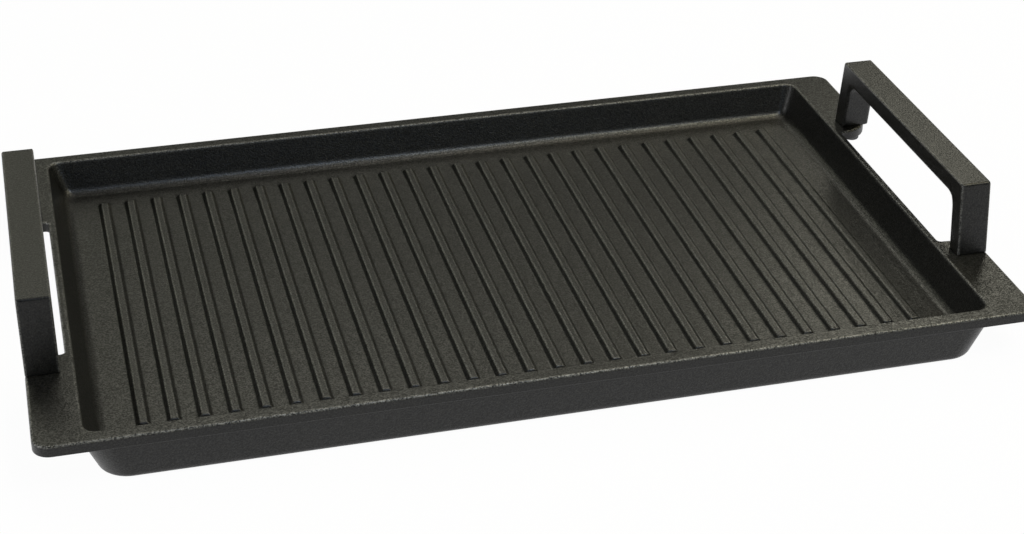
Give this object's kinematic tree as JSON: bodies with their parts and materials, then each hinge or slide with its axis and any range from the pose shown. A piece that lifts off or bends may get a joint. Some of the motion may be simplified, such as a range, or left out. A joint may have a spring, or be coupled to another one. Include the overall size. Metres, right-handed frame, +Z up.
{
  "type": "griddle plate",
  "caption": "Rectangular cast griddle plate with a shallow ribbed tray, a flat rim and a bridge handle screwed on over a finger notch at each end.",
  "frame": {"origin": "centre of the flat base, on the surface that the plate rests on", "axes": "+X along the length towards the right handle, +Y away from the viewer across the width, +Z up out of the tray"},
  "size_m": [0.47, 0.272, 0.0617],
  "materials": {
    "plate_coat": "cast aluminium under a black textured non-stick coat",
    "handle_coat": "cast aluminium under a black textured coat",
    "screw_steel": "steel with a black oxide finish"
  },
  "bodies": {
    "root": {"griddle_plate": "plate_coat", "left_handle": "handle_coat", "right_handle": "handle_coat", "left_front_screw": "screw_steel", "left_rear_screw": "screw_steel", "right_front_screw": "screw_steel", "right_rear_screw": "screw_steel", "left_front_washer": "screw_steel", "left_rear_washer": "screw_steel", "right_front_washer": "screw_steel", "right_rear_washer": "screw_steel"}
  },
  "joints": []
}
